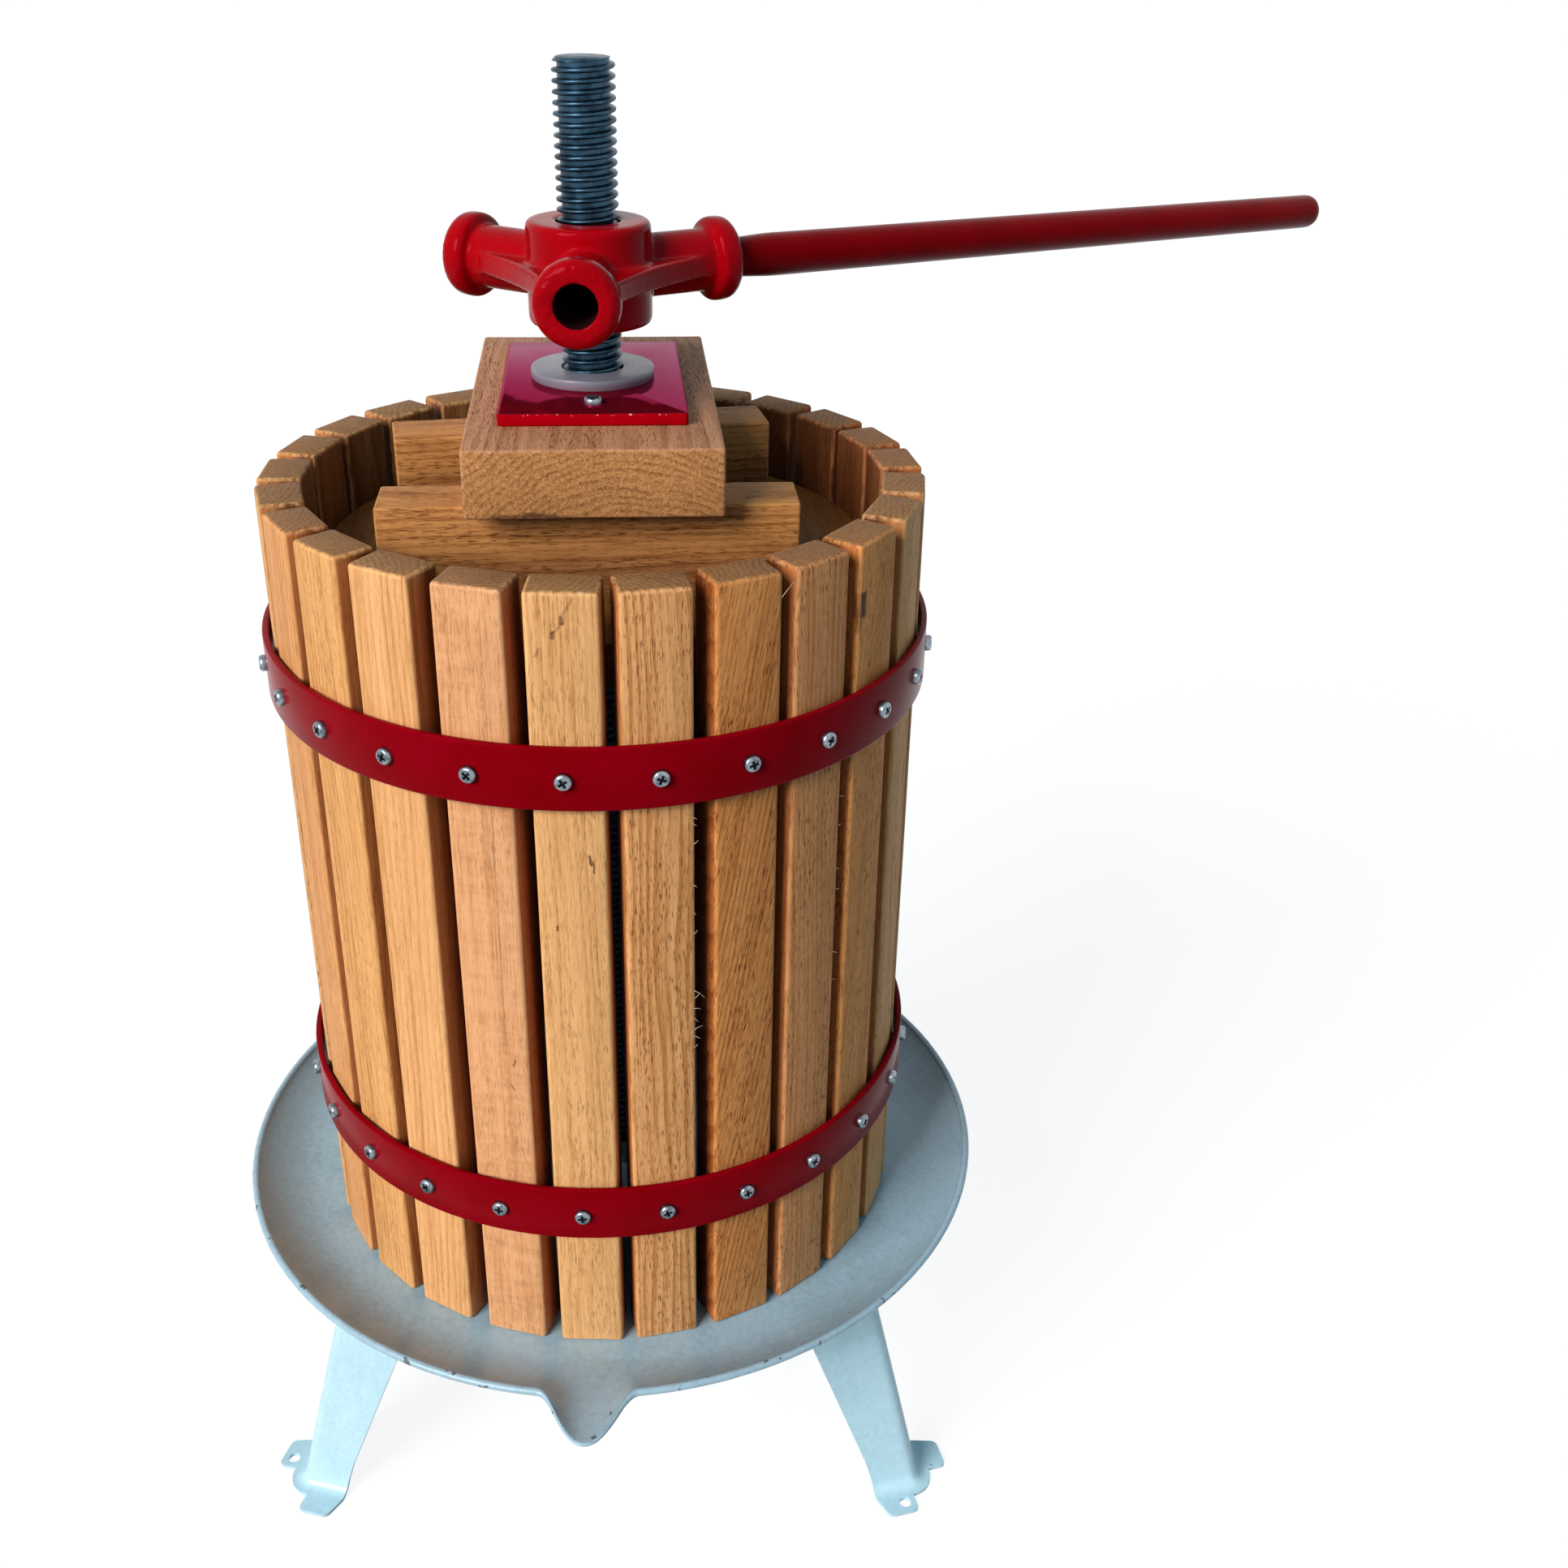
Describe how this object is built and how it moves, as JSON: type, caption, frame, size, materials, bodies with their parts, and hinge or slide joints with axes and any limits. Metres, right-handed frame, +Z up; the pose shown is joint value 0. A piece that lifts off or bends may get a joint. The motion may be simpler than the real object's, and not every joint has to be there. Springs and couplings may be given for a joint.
{
  "type": "fruit press",
  "caption": "Basket fruit press: slatted wooden basket on a spouted tray with folded legs, pressed by a nut with a bar handle that turns on a fixed central screw.",
  "frame": {"origin": "on the spindle axis, at the level of the foot tabs' underside", "axes": "+Z up along the spindle, -Y towards the pouring spout, +X to the right seen from the spout"},
  "size_m": [0.5463, 0.4208, 0.6883],
  "materials": {
    "basket_wood": "oiled, open grain",
    "press_wood": "oiled, open grain",
    "red_paint": "gloss",
    "crimson_paint": "gloss",
    "grey_paint": "satin",
    "leg_paint": "satin",
    "spindle_steel": "rolled thread",
    "zinc": "zinc plated",
    "washer_nylon": "milky, satin",
    "bush_bronze": "turned"
  },
  "bodies": {
    "frame": {"tray": "grey_paint", "leg_front_left": "leg_paint", "leg_front_right": "leg_paint", "leg_rear": "leg_paint", "leg_bolts": "zinc", "leg_nuts": "zinc", "base_plate": "zinc", "spindle": "spindle_steel", "spindle_nut_upper": "zinc", "spindle_nut_lower": "zinc"},
    "basket": {"slat_01": "basket_wood", "slat_02": "basket_wood", "slat_03": "basket_wood", "slat_04": "basket_wood", "slat_05": "basket_wood", "slat_06": "basket_wood", "slat_07": "basket_wood", "slat_08": "basket_wood", "slat_09": "basket_wood", "slat_10": "basket_wood", "slat_11": "basket_wood", "slat_12": "basket_wood", "slat_13": "basket_wood", "slat_14": "basket_wood", "slat_15": "basket_wood", "slat_16": "basket_wood", "slat_17": "basket_wood", "slat_18": "basket_wood", "slat_19": "basket_wood", "slat_20": "basket_wood", "slat_21": "basket_wood", "slat_22": "basket_wood", "slat_23": "basket_wood", "slat_24": "basket_wood", "slat_25": "basket_wood", "hoop_upper": "crimson_paint", "hoop_lower": "crimson_paint", "hoop_screws_upper": "zinc", "hoop_screws_lower": "zinc"},
    "press_stack": {"press_board_left": "press_wood", "press_board_right": "press_wood", "batten_front": "press_wood", "batten_rear": "press_wood", "press_block": "press_wood", "thrust_plate": "red_paint", "plate_screws": "zinc", "thrust_washer": "washer_nylon"},
    "nut_carrier": {"thread_bush": "bush_bronze"},
    "nut": {"spider_nut": "red_paint"},
    "handle": {"handle": "crimson_paint"}
  },
  "joints": [
    {"name": "nut_travel", "type": "slide", "parent": "frame", "child": "nut_carrier", "axis": [0, 0, -1], "range_m": [0, 0.0481]},
    {"name": "nut_turn", "type": "hinge", "parent": "nut_carrier", "child": "nut", "pos_m": [0, 0, 0.6071], "axis": [0, 0, -1], "range_deg": [0, 4320]},
    {"name": "press_travel", "type": "slide", "parent": "frame", "child": "press_stack", "axis": [0, 0, -1], "range_m": [0, 0.0301]},
    {"name": "handle_pull", "type": "slide", "parent": "nut", "child": "handle", "axis": [0.8659, 0.4999, -0.0169], "range_m": [0, 0.03]},
    {"name": "basket_lift", "type": "slide", "parent": "frame", "child": "basket", "axis": [0, 0, 1], "range_m": [0, 0.022]}
  ],
  "couplings": [
    {"joint": "nut_travel", "follows": "nut_turn", "m_per_rad": 0.00063662},
    {"joint": "press_travel", "follows": "nut_turn", "m_per_rad": 0.00039789}
  ]
}
